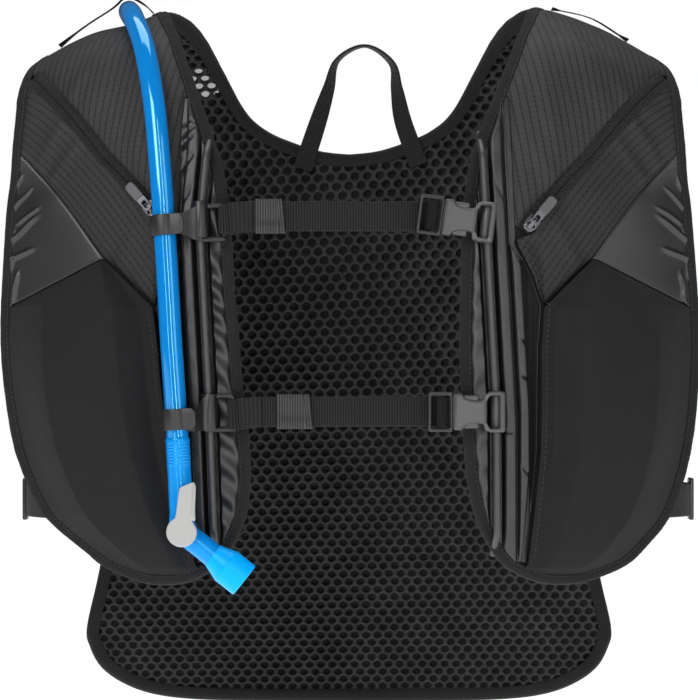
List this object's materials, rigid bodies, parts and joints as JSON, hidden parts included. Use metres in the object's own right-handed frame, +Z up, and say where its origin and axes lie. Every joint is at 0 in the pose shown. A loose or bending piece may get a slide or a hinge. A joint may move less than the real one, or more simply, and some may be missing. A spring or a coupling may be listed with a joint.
{
  "type": "running hydration vest",
  "caption": "Sleeveless running vest with spacer-mesh back, zipped and open front pockets, sliding chest straps and a drinking tube with bite valve.",
  "frame": {"origin": "midway between the two shoulder ridges, on the side that lies on the wearer's shoulders", "axes": "+Z up, the wearer's chest towards -Y, +X to the right in a front view"},
  "size_m": [0.3579, 0.2338, 0.3734],
  "materials": {
    "mesh": "black spacer mesh, matt",
    "ripstop": "charcoal ripstop, low sheen",
    "twill": "black fine stretch twill, matt",
    "nylon": "dark grey thin nylon, soft sheen",
    "binding": "black folded knit tape, matt",
    "webbing": "black polyester webbing",
    "plastic": "black moulded plastic, satin",
    "coil": "black zip tape and coil",
    "zinc": "bright plated metal",
    "tube": "blue flexible tube and valve, gloss",
    "silicone": "blue soft silicone",
    "grey": "light grey moulded plastic, satin"
  },
  "bodies": {
    "vest": {"back_panel": "mesh", "neck_binding": "binding", "hem_binding": "binding", "rear_sleeve": "twill", "handle_loop": "webbing", "front_base_r": "mesh", "front_binding_r": "binding", "zip_pocket_r": "ripstop", "mid_band_r": "ripstop", "corner_patch_r": "nylon", "cargo_pocket_r": "twill", "gusset_r": "nylon", "zip_tape_r": "coil", "zip_slider_r": "zinc", "rail_r": "binding", "shoulder_band_r": "binding", "side_strap_r": "webbing", "side_buckle_r": "plastic", "front_base_l": "mesh", "front_binding_l": "binding", "zip_pocket_l": "ripstop", "mid_band_l": "ripstop", "corner_patch_l": "nylon", "cargo_pocket_l": "twill", "gusset_l": "nylon", "zip_tape_l": "coil", "zip_slider_l": "zinc", "rail_l": "binding", "shoulder_band_l": "binding", "side_strap_l": "webbing", "side_buckle_l": "plastic", "drinking_tube": "tube", "tube_connector": "plastic", "valve_body": "tube", "bite_valve": "silicone", "strap_hook_upper": "plastic", "tube_clip_upper": "plastic", "buckle_female_upper": "plastic", "buckle_male_upper": "plastic", "strap_upper": "webbing", "keeper_upper": "webbing", "strap_hook_lower": "plastic", "tube_clip_lower": "plastic", "buckle_female_lower": "plastic", "buckle_male_lower": "plastic", "strap_lower": "webbing", "keeper_lower": "webbing"},
    "valve_lever": {"valve_lever": "grey"},
    "zip_pull_r": {"zip_pull_r": "plastic"},
    "zip_pull_l": {"zip_pull_l": "plastic"}
  },
  "joints": [
    {"name": "valve_turn", "type": "hinge", "parent": "vest", "child": "valve_lever", "pos_m": [-0.08294, -0.10323, -0.26352], "axis": [0, -1, 0], "range_deg": [0, 90]},
    {"name": "zip_pull_r_swing", "type": "hinge", "parent": "vest", "child": "zip_pull_r", "pos_m": [0.09229, -0.08228, -0.11025], "axis": [0.7303, 0.118, -0.6728], "range_deg": [0, 150]},
    {"name": "zip_pull_l_swing", "type": "hinge", "parent": "vest", "child": "zip_pull_l", "pos_m": [-0.10023, -0.0796, -0.1029], "axis": [0.7157, -0.1239, 0.6873], "range_deg": [0, 90]}
  ]
}
